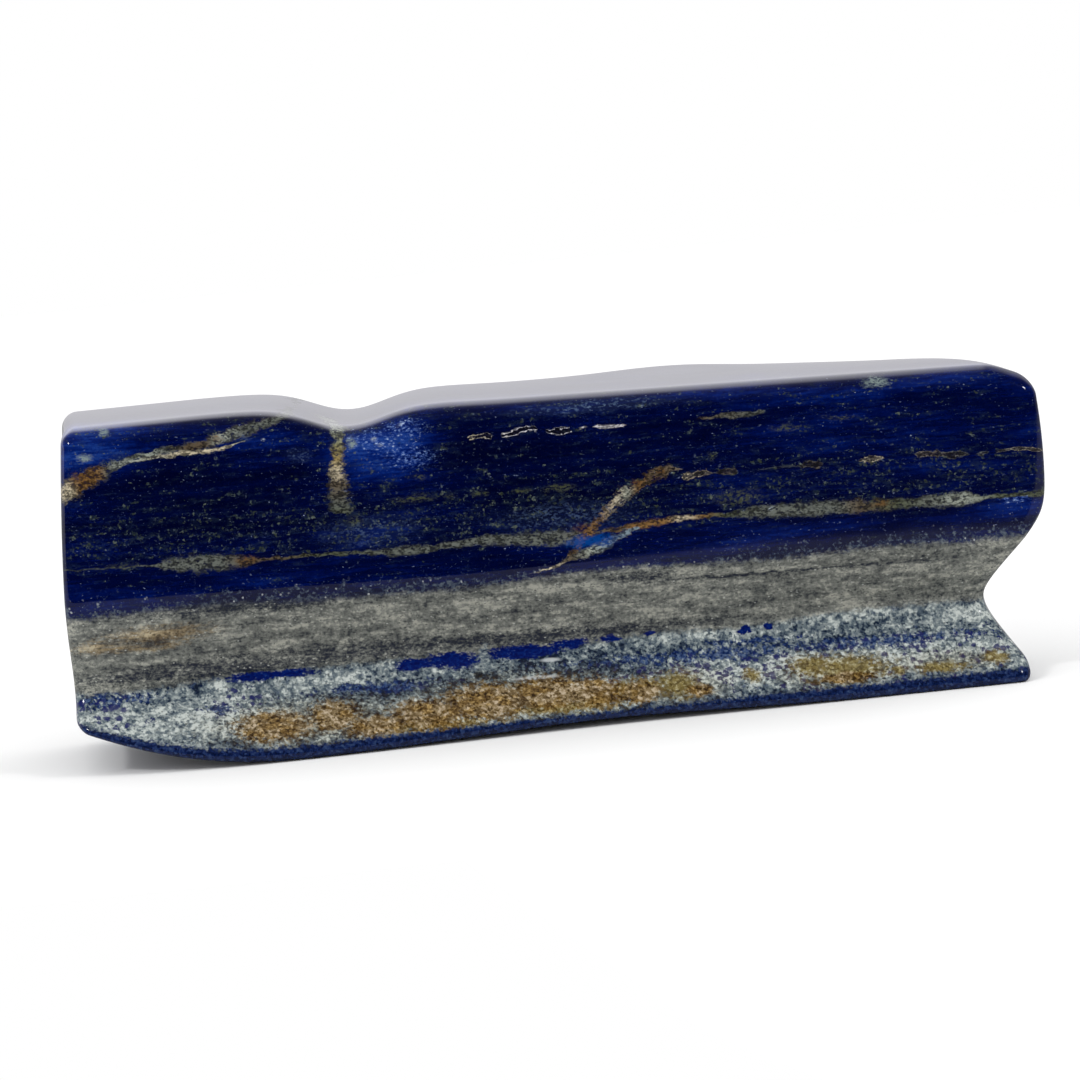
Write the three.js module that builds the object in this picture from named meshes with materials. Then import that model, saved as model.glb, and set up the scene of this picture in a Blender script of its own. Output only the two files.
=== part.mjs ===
// A polished free-form block of lapis lazuli: one solid piece of layered rock.
//
// The block is about as long as a hand. Its hard blue upper part stands proud as a long, upright bulge. Under
// it the softer grey layer is worn into a groove that runs along the front, wraps round the right end, where it
// is deepest, and dies out on the back. Under the groove a foot flares out again and rests on a flat underside,
// which sweeps up at the left end like the bow of a boat. A saddle crosses the top near the left end and runs a
// little way down the front. Every edge is polished round, and the top's front edge most of all.
//
// The surface starts as the grid of a box. Each grid point is first rounded in at the box's edges, and then
// placed between six curved faces: left and right end, front and back, underside and top.
//
// Units are millimetres. +X runs along the length to the right, +Y to the back and +Z up, and the origin is on
// the resting plane under the middle of the block.

import * as THREE from "three";
import { mergeVertices } from "three/addons/utils/BufferGeometryUtils.js";

// ---- Driving dimensions ----

const LENGTH = 200;
const HEIGHT = 69.5;
const DEPTH = 50; // of the upper block, front to back

const EDGE_RADIUS = 2.6; // of the polished edges
const GRID = { x: 56, y: 10, z: 20 }; // facets along each side of the box
const CROWDING = 0.9; // how strongly the grid lines crowd towards the edges, below 1

// The groove in the soft layer is a V with a round bottom. Round the right end it is deep, and its lip is soft.
const END_GROOVE = {
  waist: 16.4,
  depth: 14.4,
  slopeAbove: 1.05,
  slopeBelow: 0.84,
  bottomRadius: 3.5,
  softLip: 4,
};
const BACK_SHARE = 0.17; // of the end groove's depth is left on the back

// Along the front the groove is shallower and its lip is crisp. Waist and lip fall towards the right end.
const FRONT_GROOVE = { slopeBelow: 0.42, bottomRadius: 1.5, softLip: 0.35 };
const FRONT_WAIST = { left: 18, right: 15.8 };
const FRONT_LIP = { left: 30.8, right: 26.4 };
const FRONT_DEPTH = { left: 5, right: 7.5 };
const LEAN_BACK = 0.026; // of the front above the lip, in run to rise

// The foot under the groove flares out past the upper block by these amounts.
const FOOT_FLARE = { left: 8.6, right: 5.9, back: 2 };

// The top: a left hump, the saddle, and a long right part that falls away slowly to the right.
const TOP = { stepDown: 2, stepLength: 70, rightSlope: 0.031, crown: 0.5, rightCornerDrop: 4 };
const SHOULDER_WIDTH = 8; // of the roll from the top down to the front
const SHOULDER_DROP = { left: 1.3, right: 1.9 };
const SADDLE = { x: -38, width: 10.5, depth: 4.3, notchDepth: 2, notchBottom: 45 };
const BACK_HUMP = { x: 28, width: 16, height: 1 };

// The underside sweeps up towards the left end.
const BOW = { start: -53, rise: 9.2 };
const FRONT_ARCH = { x: 8, width: 34, rise: 1.3 };

// In plan the right end is cut back at an angle, and the back tapers towards it.
const RIGHT_END = { widestHeight: 44, lean: 2.2, skew: 18, backTaper: 9, roundToe: 2, toeHeight: 5 };
const LEFT_END = { widestHeight: 26, lean: 3.4, skew: 3 };

// ---- Small curves ----

const { clamp, lerp, smoothstep } = THREE.MathUtils;
const bell = (t, middle, width) => Math.exp(-(((t - middle) / width) ** 2));
const notBelowZero = (value, softness) => (value + Math.hypot(value, softness)) / 2;

/** The value at x of a size that changes evenly from the left end to the right end. */
const between = ({ left, right }, x) => lerp(left, right, clamp(x / LENGTH + 0.5, 0, 1));

/** The depth of a V-shaped groove with a round bottom and a soft lip, at a height above its waist. */
function grooveDepth(above, { depth, slopeAbove, slopeBelow, bottomRadius, softLip }) {
  const climb = above > 0 ? slopeAbove * above : -slopeBelow * above;
  const wall = Math.hypot(climb, bottomRadius) - bottomRadius;
  return notBelowZero(depth - wall, softLip);
}

const endGroove = (z) => grooveDepth(z - END_GROOVE.waist, END_GROOVE);

function frontGroove(x, z) {
  const waist = between(FRONT_WAIST, x);
  const depth = between(FRONT_DEPTH, x);
  const slopeAbove = depth / (between(FRONT_LIP, x) - waist);
  return grooveDepth(z - waist, { ...FRONT_GROOVE, depth, slopeAbove });
}

/** The foot's share of its full flare at height z: 1 on the resting plane and 0 from the waist up. */
const footShare = (z) => 1 - smoothstep(z, 0, END_GROOVE.waist);

// ---- The six faces ----

function undersideZ(x, y) {
  const sweep = Math.max(0, (BOW.start - x) / (LENGTH / 2 + BOW.start));
  const atFront = smoothstep(-y, 0, DEPTH / 2);
  return BOW.rise * sweep ** 2 + FRONT_ARCH.rise * bell(x, FRONT_ARCH.x, FRONT_ARCH.width) * atFront;
}

function topZ(x, y) {
  const overSaddle = smoothstep(x, SADDLE.x - TOP.stepLength / 2, SADDLE.x + TOP.stepLength / 2);
  const atBack = smoothstep(y, 0, DEPTH / 2);
  const overShoulder = Math.max(0, 1 - (y + DEPTH / 2) / SHOULDER_WIDTH);
  return (
    HEIGHT -
    TOP.stepDown * overSaddle -
    TOP.rightSlope * Math.max(0, x - SADDLE.x) -
    SADDLE.depth * bell(x, SADDLE.x, SADDLE.width) -
    TOP.rightCornerDrop * smoothstep(x, 0.45 * LENGTH, 0.52 * LENGTH) -
    TOP.crown * (2 * y / DEPTH) ** 2 -
    between(SHOULDER_DROP, x) * overShoulder ** 2 +
    BACK_HUMP.height * bell(x, BACK_HUMP.x, BACK_HUMP.width) * atBack
  );
}

function frontY(x, z) {
  const flare = lerp(FOOT_FLARE.left, FOOT_FLARE.right, smoothstep(x, -0.35 * LENGTH, 0.1 * LENGTH));
  const notchReach = smoothstep(z, SADDLE.notchBottom, HEIGHT);
  const notch = SADDLE.notchDepth * bell(x, SADDLE.x, SADDLE.width) * notchReach;
  const lean = LEAN_BACK * Math.max(0, z - between(FRONT_LIP, x));
  return -DEPTH / 2 + frontGroove(x, z) - flare * footShare(z) + notch + lean;
}

function backY(x, z) {
  const taper = RIGHT_END.backTaper * smoothstep(x, 0.15 * LENGTH, 0.5 * LENGTH) ** 2;
  return DEPTH / 2 - BACK_SHARE * endGroove(z) + FOOT_FLARE.back * footShare(z) - taper;
}

function leftX(y, z) {
  const up = Math.max(0, z - LEFT_END.widestHeight) / (HEIGHT - LEFT_END.widestHeight);
  return -LENGTH / 2 + LEFT_END.lean * up ** 1.5 + LEFT_END.skew * smoothstep(-y, -DEPTH / 2, DEPTH / 2);
}

function rightX(y, z) {
  const up = Math.max(0, z - RIGHT_END.widestHeight) / (HEIGHT - RIGHT_END.widestHeight);
  const backwards = clamp(y / DEPTH + 0.5, 0, 1);
  const groove = endGroove(z) * (1 - backwards / 2);
  const toe = RIGHT_END.roundToe * (1 - smoothstep(z, 0, RIGHT_END.toeHeight));
  return LENGTH / 2 - RIGHT_END.lean * up ** 2 - groove - toe - RIGHT_END.skew * backwards ** 2;
}

// ---- The solid ----

/** Crowds an evenly spaced grid coordinate, from -1 to 1, towards its two ends. */
const crowd = (t) => Math.sin((CROWDING * t * Math.PI) / 2) / Math.sin((CROWDING * Math.PI) / 2);

/** Moves a point of the box from -1 to 1 on to the same box with round edges. */
function roundIn(point) {
  const share = new THREE.Vector3(2 / LENGTH, 2 / DEPTH, 2 / HEIGHT).multiplyScalar(EDGE_RADIUS);
  const inner = new THREE.Vector3(1, 1, 1).sub(share);
  const core = point.clone().clamp(inner.clone().negate(), inner);
  const outward = point.clone().sub(core).divide(share).normalize();
  return core.add(outward.multiply(share));
}

/** Places a point of the rounded box between the six faces. */
function place(point) {
  const x = (point.x * LENGTH) / 2;
  const y = (point.y * DEPTH) / 2;
  const z = lerp(undersideZ(x, y), topZ(x, y), (point.z + 1) / 2);
  const end = x < 0 ? leftX(y, z) + LENGTH / 2 : rightX(y, z) - LENGTH / 2;
  return new THREE.Vector3(
    x + end * smoothstep(Math.abs(point.x), 0.3, 1),
    lerp(frontY(x, z), backY(x, z), (point.y + 1) / 2),
    z,
  );
}

function stoneGeometry() {
  const geometry = new THREE.BoxGeometry(2, 2, 2, GRID.x, GRID.y, GRID.z);
  const positions = geometry.getAttribute("position");
  for (let i = 0; i < positions.count; i++) {
    const even = new THREE.Vector3().fromBufferAttribute(positions, i);
    const onBox = new THREE.Vector3(...even.toArray().map(crowd));
    positions.setXYZ(i, ...place(roundIn(onBox)));
  }
  geometry.deleteAttribute("normal");
  geometry.deleteAttribute("uv");
  const closed = mergeVertices(geometry, 1e-3);
  closed.computeBoundingBox();
  const middle = closed.boundingBox.getCenter(new THREE.Vector3());
  closed.translate(-middle.x, -middle.y, 0);
  closed.computeVertexNormals();
  return closed;
}

const polishedLapis = new THREE.MeshStandardMaterial({ color: 0x0b1560, roughness: 0.18, metalness: 0 });

const stone = new THREE.Mesh(stoneGeometry(), polishedLapis);
stone.name = "stone";

const block = new THREE.Group();
block.add(stone);

export default block;
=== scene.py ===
# %% [markdown]
# # A polished block of lapis lazuli
#
# Lapis lazuli is a rock, not a single crystal. Blue lazurite, white calcite and brassy pyrite lie in it
# in layers. This block was sawn from such a rock, ground to a free form and polished until it shines like
# glass. Below, the block gets a fine smooth surface, and then a material that is worked out from the
# place of each point in the stone. So the layers run right through the block and come out on every side,
# as they do in the real rock.
#
# All lengths here are in millimetres, in the block's own frame: X runs along the length, Y to the back
# and Z up. Blender works in metres, so each length is turned into metres at the last moment.

# %% Load the frame
import math

import bmesh
import bpy
import numpy as np
from mathutils import Matrix, Vector


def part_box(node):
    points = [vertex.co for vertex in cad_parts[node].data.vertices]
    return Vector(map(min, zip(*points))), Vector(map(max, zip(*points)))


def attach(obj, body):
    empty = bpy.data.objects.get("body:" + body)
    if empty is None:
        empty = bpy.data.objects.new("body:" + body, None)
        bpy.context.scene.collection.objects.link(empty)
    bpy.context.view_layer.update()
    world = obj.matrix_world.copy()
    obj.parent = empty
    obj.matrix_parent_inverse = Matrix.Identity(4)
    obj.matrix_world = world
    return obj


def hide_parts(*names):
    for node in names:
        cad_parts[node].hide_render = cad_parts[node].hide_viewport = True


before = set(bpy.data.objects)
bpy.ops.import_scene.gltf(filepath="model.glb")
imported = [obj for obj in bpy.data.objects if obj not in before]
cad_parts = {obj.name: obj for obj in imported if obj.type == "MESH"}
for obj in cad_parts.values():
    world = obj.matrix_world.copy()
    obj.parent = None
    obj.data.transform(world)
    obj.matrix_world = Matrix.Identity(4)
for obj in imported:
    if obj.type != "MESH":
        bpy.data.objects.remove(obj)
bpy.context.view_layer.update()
MM = 0.001

# %% [markdown]
# ## The camera
#
# The block is seen from the front and a little from above, so that its top shows only as a thin strip. A
# long lens from a metre away keeps the long edges almost parallel. The camera is rolled a few degrees
# about its own axis: that tilts the picture and leaves the block standing level on the floor.

# %% Camera
CAMERA = {
    "elevation": 6.4,
    "roll": 5.9,
    "distance": 1000,
    "lens": 168.2,
    "sensor": 36,
    "target": (-1.3, -20.4, 37.8),
}


def make_camera():
    """Puts the scene's camera on its line of sight, rolled about that line."""
    data = bpy.data.cameras.new("camera")
    data.lens = CAMERA["lens"]
    data.sensor_width = CAMERA["sensor"]
    camera = bpy.data.objects.new("camera", data)
    turn = Matrix.Rotation(math.radians(90 - CAMERA["elevation"]), 4, "X")
    turn = turn @ Matrix.Rotation(math.radians(-CAMERA["roll"]), 4, "Z")
    back = turn.to_3x3() @ Vector((0, 0, 1))
    place = (Vector(CAMERA["target"]) + back * CAMERA["distance"]) * MM
    camera.matrix_world = Matrix.Translation(place) @ turn
    bpy.context.scene.collection.objects.link(camera)
    bpy.context.scene.camera = camera
    return camera


camera = make_camera()
print("camera stands at, in mm:", [round(v / MM) for v in camera.matrix_world.translation])

# %% [markdown]
# ## The shape of the block
#
# A sculptor's way to this shape would be a subdivided cube and many brush strokes. Here the same shape is
# written down instead: a cube's surface is covered with a fine grid, its edges are rounded, and each
# point is then placed between six curved faces, given by short formulas. These are the formulas of the
# solid that stands for the block in the frame, so that the two agree, and the fine grid only adds
# smoothness.

# %% Driving sizes
LENGTH = 200
HEIGHT = 69.5
DEPTH = 50
EDGE_RADIUS = 2.6
GRID = (240, 60, 88)
CROWDING = 0.9
END_BEND = 0.3

END_GROOVE = {"depth": 14.4, "slope_above": 1.05, "slope_below": 0.84, "bottom_radius": 3.5, "soft_lip": 4}
END_WAIST = 16.4
BACK_SHARE = 0.17
FRONT_GROOVE = {"slope_below": 0.42, "bottom_radius": 1.5, "soft_lip": 0.35}
FRONT_WAIST = {"left": 18, "right": 15.8}
FRONT_LIP = {"left": 30.8, "right": 26.4}
FRONT_DEPTH = {"left": 5, "right": 7.5}
LEAN_BACK = 0.026
FOOT_FLARE = {"left": 8.6, "right": 5.9, "change": (-70, 20), "back": 2}
TOP = {
    "step_down": 2,
    "step_length": 70,
    "right_slope": 0.031,
    "crown": 0.5,
    "right_corner": (90, 104),
    "corner_drop": 4,
}
SHOULDER_WIDTH = 8
SHOULDER_DROP = {"left": 1.3, "right": 1.9}
SADDLE = {"x": -38, "width": 10.5, "depth": 4.3, "notch_depth": 2, "notch_bottom": 45}
BACK_HUMP = {"x": 28, "width": 16, "height": 1}
BOW = {"start": -53, "rise": 9.2}
FRONT_ARCH = {"x": 8, "width": 34, "rise": 1.3}
RIGHT_END = {"widest_height": 44, "lean": 2.2, "skew": 18, "back_taper": 9, "taper_start": 30}
TOE = {"set_back": 2, "height": 5}
LEFT_END = {"widest_height": 26, "lean": 3.4, "skew": 3}
print("block in mm:", LENGTH, "by", DEPTH, "by", HEIGHT, "before its ends and its foot are shaped")

# %% [markdown]
# The formulas use four small curves. `smoothstep` rises gently from 0 to 1 between two limits, `bell` is
# a smooth hump, `mix` goes from one value to another, and `not_below_zero` is a soft way to cut off
# negative values. NumPy works them out for all the points at once.

# %% Small curves
def smoothstep(value, low, high):
    t = np.clip((value - low) / (high - low), 0, 1)
    return t * t * (3 - 2 * t)


def bell(value, middle, width):
    return np.exp(-(((value - middle) / width) ** 2))


def mix(a, b, t):
    return a + (b - a) * t


def not_below_zero(value, softness):
    return (value + np.hypot(value, softness)) / 2


def between(ends, x):
    """The value at x of a size that changes evenly from the left end to the right end."""
    return mix(ends["left"], ends["right"], np.clip(x / LENGTH + 0.5, 0, 1))


print("a quarter of the way up, the smooth step has risen by", round(float(smoothstep(0.25, 0, 1)), 2))

# %% [markdown]
# The groove is a V with a round bottom and a soft lip. Round the right end it is deep. Along the front it
# is shallower, with a crisp lip, and both its waist and its lip fall a little towards the right.

# %% The groove and the foot
def groove_depth(above, depth, slope_above, slope_below, bottom_radius, soft_lip):
    """The depth of the groove at a height above its waist."""
    climb = np.where(above > 0, slope_above * above, -slope_below * above)
    wall = np.hypot(climb, bottom_radius) - bottom_radius
    return not_below_zero(depth - wall, soft_lip)


def end_groove(z):
    return groove_depth(z - END_WAIST, **END_GROOVE)


def front_groove(x, z):
    waist, depth = between(FRONT_WAIST, x), between(FRONT_DEPTH, x)
    slope_above = depth / (between(FRONT_LIP, x) - waist)
    return groove_depth(z - waist, depth, slope_above, **FRONT_GROOVE)


def foot_share(z):
    """The foot's share of its full flare at height z: 1 on the floor and 0 from the waist up."""
    return 1 - smoothstep(z, 0, END_WAIST)


print("groove at the right end:", round(float(end_groove(END_WAIST)), 1), "mm deep at its waist")

# %% [markdown]
# Six functions give the six faces, each as a height or a distance from the block's middle. The underside
# sweeps up at the left end like a bow. The top steps down towards the right, dips at the saddle and falls
# at the right corner. The front carries the groove, the flared foot and the notch under the saddle, and
# above the groove it leans back a little. The two ends lean and are cut at a slant.

# %% The six faces
def underside_z(x, y):
    sweep = np.maximum(0, (BOW["start"] - x) / (LENGTH / 2 + BOW["start"]))
    arch = FRONT_ARCH["rise"] * bell(x, FRONT_ARCH["x"], FRONT_ARCH["width"])
    return BOW["rise"] * sweep**2 + arch * smoothstep(-y, 0, DEPTH / 2)


def top_z(x, y):
    half_step = TOP["step_length"] / 2
    step = TOP["step_down"] * smoothstep(x, SADDLE["x"] - half_step, SADDLE["x"] + half_step)
    slope = TOP["right_slope"] * np.maximum(0, x - SADDLE["x"])
    saddle = SADDLE["depth"] * bell(x, SADDLE["x"], SADDLE["width"])
    corner = TOP["corner_drop"] * smoothstep(x, *TOP["right_corner"])
    hump = BACK_HUMP["height"] * bell(x, BACK_HUMP["x"], BACK_HUMP["width"]) * smoothstep(y, 0, DEPTH / 2)
    over_shoulder = np.maximum(0, 1 - (y + DEPTH / 2) / SHOULDER_WIDTH)
    shoulder = between(SHOULDER_DROP, x) * over_shoulder**2
    crown = TOP["crown"] * (2 * y / DEPTH) ** 2
    return HEIGHT - step - slope - saddle - corner - crown - shoulder + hump


def front_y(x, z):
    flare = mix(FOOT_FLARE["left"], FOOT_FLARE["right"], smoothstep(x, *FOOT_FLARE["change"]))
    notch = SADDLE["notch_depth"] * bell(x, SADDLE["x"], SADDLE["width"])
    lean = LEAN_BACK * np.maximum(0, z - between(FRONT_LIP, x))
    upper = notch * smoothstep(z, SADDLE["notch_bottom"], HEIGHT) + lean
    return -DEPTH / 2 + front_groove(x, z) - flare * foot_share(z) + upper


def back_y(x, z):
    taper = RIGHT_END["back_taper"] * smoothstep(x, RIGHT_END["taper_start"], LENGTH / 2) ** 2
    return DEPTH / 2 - BACK_SHARE * end_groove(z) + FOOT_FLARE["back"] * foot_share(z) - taper


def left_x(y, z):
    up = np.maximum(0, z - LEFT_END["widest_height"]) / (HEIGHT - LEFT_END["widest_height"])
    skew = LEFT_END["skew"] * smoothstep(-y, -DEPTH / 2, DEPTH / 2)
    return -LENGTH / 2 + LEFT_END["lean"] * up**1.5 + skew


def right_x(y, z):
    up = np.maximum(0, z - RIGHT_END["widest_height"]) / (HEIGHT - RIGHT_END["widest_height"])
    backwards = np.clip(y / DEPTH + 0.5, 0, 1)
    groove = end_groove(z) * (1 - backwards / 2)
    toe = TOE["set_back"] * (1 - smoothstep(z, 0, TOE["height"]))
    return LENGTH / 2 - RIGHT_END["lean"] * up**2 - groove - toe - RIGHT_END["skew"] * backwards**2


print("top at the saddle:", round(float(top_z(SADDLE["x"], 0)), 1), "mm above the floor")

# %% [markdown]
# `cube_grid` covers a cube from -1 to 1 with quads, closer together near the edges, where the surface
# bends most. `round_in` pulls the points near an edge on to a rounded edge. `place` then puts them
# between the six faces.

# %% Grid, rounding and placing
def crowd(t):
    return np.sin(CROWDING * t * np.pi / 2) / np.sin(CROWDING * np.pi / 2)


def cube_grid():
    """The grid points of a cube's six sides, each side with its own, and the quads between them."""
    points, quads = [], []
    for axis in range(3):
        u, v = (axis + 1) % 3, (axis + 2) % 3
        across, up = np.meshgrid(
            crowd(np.linspace(-1, 1, GRID[u] + 1)), crowd(np.linspace(-1, 1, GRID[v] + 1)), indexing="ij"
        )
        for side in (-1, 1):
            grid = np.empty((*across.shape, 3))
            grid[..., axis], grid[..., u], grid[..., v] = side, across, up
            number = np.arange(across.size).reshape(across.shape) + sum(len(p) for p in points)
            corners = [number[:-1, :-1], number[1:, :-1], number[1:, 1:], number[:-1, 1:]]
            quads.append(np.stack(corners[::side], -1).reshape(-1, 4))
            points.append(grid.reshape(-1, 3))
    return np.concatenate(points), np.concatenate(quads)


def round_in(points):
    share = EDGE_RADIUS * 2 / np.array((LENGTH, DEPTH, HEIGHT))
    core = np.clip(points, share - 1, 1 - share)
    outward = (points - core) / share
    return core + outward / np.linalg.norm(outward, axis=1, keepdims=True) * share


def place(points):
    x, y = points[:, 0] * LENGTH / 2, points[:, 1] * DEPTH / 2
    z = mix(underside_z(x, y), top_z(x, y), (points[:, 2] + 1) / 2)
    end = np.where(x < 0, left_x(y, z) + LENGTH / 2, right_x(y, z) - LENGTH / 2)
    placed_x = x + end * smoothstep(np.abs(points[:, 0]), END_BEND, 1)
    placed_y = mix(front_y(x, z), back_y(x, z), (points[:, 1] + 1) / 2)
    return np.stack([placed_x, placed_y, z], -1)


print("quads in the grid:", len(cube_grid()[1]))

# %% [markdown]
# The points and quads become a mesh. It is fitted to the box of the solid in the frame, because a finer
# grid reaches a few hundredths of a millimetre further round the curves. The cube's sides each brought
# their own edge points, so those are joined, and smooth shading then runs round the edges without a
# break.

# %% Build the stone's mesh
def fit_box(points, low, high):
    """Moves and stretches points, here by a few hundredths of a millimetre, so that they fill a box."""
    first, last = points.min(0), points.max(0)
    return low + (points - first) * (high - low) / (last - first)


def make_stone():
    points, quads = cube_grid()
    solid_low, solid_high = (np.array(corner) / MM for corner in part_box("stone"))
    placed = fit_box(place(round_in(points)), solid_low, solid_high)
    mesh = bpy.data.meshes.new("polished_stone")
    mesh.from_pydata((placed * MM).tolist(), [], quads.tolist())
    stone = bpy.data.objects.new("polished_stone", mesh)
    bpy.context.scene.collection.objects.link(stone)
    merge_doubles(mesh)
    mesh.shade_smooth()
    return stone


def merge_doubles(mesh):
    """Joins the points that two sides of the cube share along their edge."""
    work = bmesh.new()
    work.from_mesh(mesh)
    bmesh.ops.remove_doubles(work, verts=work.verts, dist=1e-3 * MM)
    work.to_mesh(mesh)
    work.free()


stone = make_stone()
print("stone:", len(stone.data.vertices), "points and", len(stone.data.polygons), "faces")

# %% [markdown]
# ## The material
#
# A picture wrapped round the stone would slide over its edges and show no layers inside. Instead, the
# material asks of each point: how far along does it lie, and how high in the pile of layers? From these
# two numbers it works out which layer the point is in, and whether a vein, a stain or a grain lies there.
# The layers wander a little towards the back, so that each side of the stone shows its own cut through
# them.
#
# The helper below keeps many nodes short to write. `feed` joins a socket to another node, or gives it a
# value. Most masks and tones here are weighted sums, and `weigh` writes such a sum in one line.

# %% A short way to write nodes
class Nodes:
    """A node tree, with one short method for each kind of node that the stone needs."""

    def __init__(self, tree):
        self.tree = tree

    def add(self, kind, **settings):
        node = self.tree.nodes.new("ShaderNode" + kind)
        for name, value in settings.items():
            setattr(node, name, value)
        return node

    def feed(self, socket, value):
        if isinstance(value, bpy.types.NodeSocket):
            self.tree.links.new(value, socket)
        else:
            socket.default_value = value

    def feed_all(self, node, *values):
        for socket, value in zip(node.inputs, values):
            self.feed(socket, value)
        return node.outputs[0]

    def math(self, operation, *values):
        return self.feed_all(self.add("Math", operation=operation), *values)

    def times(self, first, second):
        return self.math("MULTIPLY", first, second)

    def weigh(self, start, *parts):
        """The start with some parts added to it. Each part is a value and its weight."""
        for value, weight in parts:
            start = self.math("MULTIPLY_ADD", value, weight, start)
        return start

    def vector(self, operation, *values):
        node = self.add("VectorMath", operation=operation)
        self.feed_all(node, *values)
        return node.outputs["Value" if operation == "LENGTH" else "Vector"]

    def scale(self, vector, factor):
        node = self.add("VectorMath", operation="SCALE")
        self.feed(node.inputs[0], vector)
        self.feed(node.inputs["Scale"], factor)
        return node.outputs["Vector"]

    def combine(self, *values):
        return self.feed_all(self.add("CombineXYZ"), *values)

    def split(self, vector):
        node = self.add("SeparateXYZ")
        self.feed(node.inputs[0], vector)
        return node.outputs

    def step(self, value, low, high, to_low=0.0, to_high=1.0):
        """A smooth change from to_low to to_high while the value goes from low to high."""
        node = self.add("MapRange", interpolation_type="SMOOTHSTEP")
        return self.feed_all(node, value, low, high, to_low, to_high)

    def blend(self, share, first, second):
        """The first colour where share is 0, and the second where it is 1."""
        node = self.add("Mix", data_type="RGBA")
        for socket, value in zip([node.inputs[i] for i in (0, 6, 7)], (share, first, second)):
            self.feed(socket, value)
        return node.outputs[2]

    def noise(self, vector, detail=3.0, roughness=0.55):
        node = self.add("TexNoise")
        for name, value in {"Vector": vector, "Scale": 1.0, "Detail": detail, "Roughness": roughness}.items():
            self.feed(node.inputs[name], value)
        return node.outputs

    def cells(self, vector):
        """Space cut into crystals: the distance to each one's middle, and a chance colour for each."""
        node = self.add("TexVoronoi")
        self.feed(node.inputs["Vector"], vector)
        self.feed(node.inputs["Scale"], 1)
        return node.outputs

    def ramp(self, value, *stops):
        """Colours at places from 0 to 1."""
        node = self.add("ValToRGB")
        elements = node.color_ramp.elements
        while len(elements) < len(stops):
            elements.new(1)
        for element, (place, colour) in zip(elements, stops):
            element.position = place
            element.color = colour
        self.feed(node.inputs[0], value)
        return node.outputs[0]

    def group(self, tree, **values):
        node = self.add("Group", node_tree=tree)
        for name, value in values.items():
            self.feed(node.inputs[name.replace("_", " ")], value)
        return node.outputs


def new_group(name, inputs, outputs):
    """Makes a node group, and gives its nodes, what goes into it and what comes out of it."""
    tree = bpy.data.node_groups.new(name, "ShaderNodeTree")
    for direction, sockets in (("INPUT", inputs), ("OUTPUT", outputs)):
        for socket, kind in sockets.items():
            tree.interface.new_socket(socket, in_out=direction, socket_type="NodeSocket" + kind)
    given = tree.nodes.new("NodeGroupInput").outputs
    result = tree.nodes.new("NodeGroupOutput").inputs
    return Nodes(tree), given, result


def shade(red, green, blue):
    """A colour as a screen shows it, from 0 to 255, in the linear numbers that light works with."""
    shares = (v / 255 for v in (red, green, blue))
    return (*(v / 12.92 if v < 0.04 else ((v + 0.055) / 1.055) ** 2.4 for v in shares), 1.0)


print("mid grey as light sees it:", [round(v, 3) for v in shade(128, 128, 128)])

# %% [markdown]
# ### Where a point lies
#
# The layers fall a little towards the right end. `Flow` is a point's place in the layers, in millimetres:
# how far along, how far in, and how high. `Ragged` is the same place, pushed about by a noise. What is
# looked up with it gets the torn edges that minerals have where they grew into each other. `Inward` is
# the distance in from the front, and `Above Underside` is the height over the underside, which the navy
# rim follows.
#
# Three noises move a point in the layers. `WANDER` bends them slowly, and only behind the front. `BEND`
# is a finer wave, and `TEAR` makes the ragged edges. Each has its scale or size, and a reach along,
# inwards and up.

# %% Layer position
FRONT = -21
DIP = 0.022
SLANT = {"along": 0.15, "up": 0.05}
WANDER = {"size": 55, "reach": (30, 0, 20), "starts": 3, "full": 30}
BEND = {"scale": (1 / 30, 1 / 30, 1 / 14), "reach": (1.5, 1.5, 1)}
TEAR = {"scale": (1 / 3, 1 / 3, 1 / 2), "reach": (2.6, 2.6, 1.5)}
HALF = (0.5, 0.5, 0.5)


def make_position():
    outputs = {"Flow": "Vector", "Ragged": "Vector", "Inward": "Float", "Above Underside": "Float"}
    n, _, result = new_group("layer position", {}, outputs)
    metres = n.add("TexCoord").outputs["Object"]
    place = n.vector("MULTIPLY", metres, (1 / MM,) * 3)
    x, y, z = n.split(place)
    inward = n.math("SUBTRACT", y, FRONT)
    back = n.step(inward, WANDER["starts"], WANDER["full"])
    wander = n.noise(n.scale(place, 1 / WANDER["size"]))["Color"]
    wander = n.scale(n.vector("SUBTRACT", wander, HALF), back)
    bend = n.noise(n.vector("MULTIPLY", place, BEND["scale"]))["Color"]
    bend = n.vector("SUBTRACT", bend, HALF)
    level = n.weigh(z, (x, DIP), (inward, SLANT["up"]))
    along = n.weigh(x, (inward, SLANT["along"]))
    flow = n.vector("MULTIPLY_ADD", wander, WANDER["reach"], n.combine(along, y, level))
    flow = n.vector("MULTIPLY_ADD", bend, BEND["reach"], flow)
    torn = n.noise(n.vector("MULTIPLY", place, TEAR["scale"]), detail=1.5)["Color"]
    torn = n.vector("SUBTRACT", torn, HALF)
    sweep = n.math("DIVIDE", n.math("SUBTRACT", BOW["start"], x), LENGTH / 2 + BOW["start"])
    sweep = n.math("MAXIMUM", sweep, 0)
    bow = n.times(n.times(sweep, sweep), BOW["rise"])
    n.feed(result["Flow"], flow)
    n.feed(result["Ragged"], n.vector("MULTIPLY_ADD", torn, TEAR["reach"], flow))
    n.feed(result["Inward"], inward)
    n.feed(result["Above Underside"], n.math("SUBTRACT", z, bow))
    return n.tree


position_group = make_position()
print("layer position:", len(position_group.nodes), "nodes")

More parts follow.
